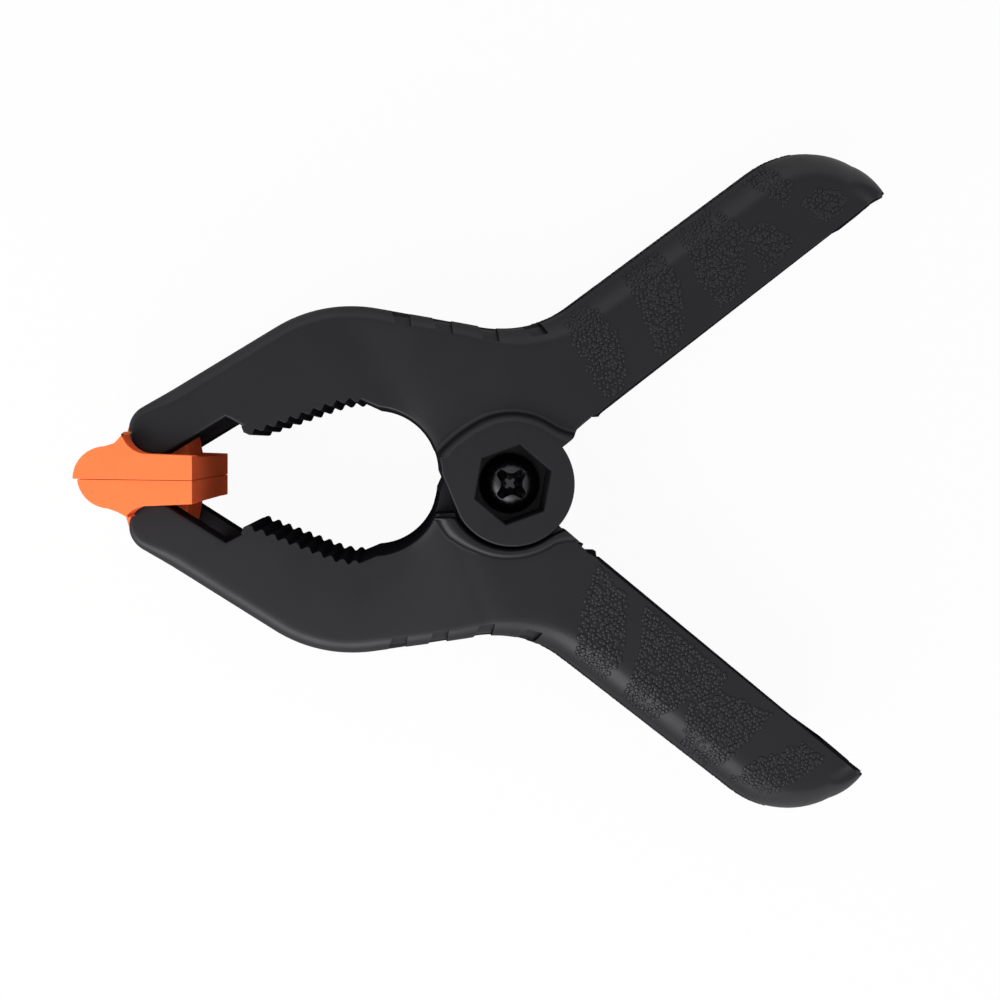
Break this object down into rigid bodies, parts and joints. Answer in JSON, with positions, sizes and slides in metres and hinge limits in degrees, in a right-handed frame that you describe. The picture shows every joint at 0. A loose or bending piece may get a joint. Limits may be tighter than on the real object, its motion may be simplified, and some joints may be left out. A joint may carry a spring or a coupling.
{
  "type": "spring clamp",
  "caption": "Plastic hand spring clamp with toothed jaws, swivel pads, a torsion spring and a screw pivot.",
  "frame": {"origin": "on the pivot axis, half way through the clamp's width, with the clamp lying on its side", "axes": "+X along the clamp from the pads to the handles, +Y the way the upper jaw opens, +Z along the pivot axis towards the screw's head"},
  "size_m": [0.1172, 0.1008, 0.027],
  "materials": {
    "black_nylon": "satin moulded nylon with a pebbled grip",
    "orange_pad": "satin moulded soft plastic",
    "spring_steel": "drawn wire, lightly oiled",
    "black_oxide_steel": "black oxide",
    "zinc_plated_steel": "zinc plated"
  },
  "bodies": {
    "upper_lever": {"upper_lever": "black_nylon", "torsion_spring": "spring_steel"},
    "lower_lever": {"lower_lever": "black_nylon", "pivot_screw": "black_oxide_steel", "pivot_nut": "zinc_plated_steel", "pivot_sleeve": "zinc_plated_steel"},
    "upper_pad": {"upper_pad": "orange_pad"},
    "lower_pad": {"lower_pad": "orange_pad"}
  },
  "joints": [
    {"name": "lever_open", "type": "hinge", "parent": "upper_lever", "child": "lower_lever", "pos_m": [0, 0, 0], "axis": [0, 0, 1], "range_deg": [0, 72], "stiffness_Nm_per_rad": 1.05, "springref_deg": -22.92, "deforming": ["torsion_spring"]},
    {"name": "upper_pad_swivel", "type": "hinge", "parent": "upper_lever", "child": "upper_pad", "pos_m": [-0.0514, 0.00715, 0], "axis": [0, 0, 1], "range_deg": [0, 32.4]},
    {"name": "lower_pad_swivel", "type": "hinge", "parent": "lower_lever", "child": "lower_pad", "pos_m": [-0.0514, -0.00715, 0], "axis": [0, 0, 1], "range_deg": [-32.4, 0]}
  ],
  "couplings": [
    {"joint": "upper_pad_swivel", "follows": "lever_open", "ratio": 0.45},
    {"joint": "lower_pad_swivel", "follows": "lever_open", "ratio": -0.45}
  ]
}
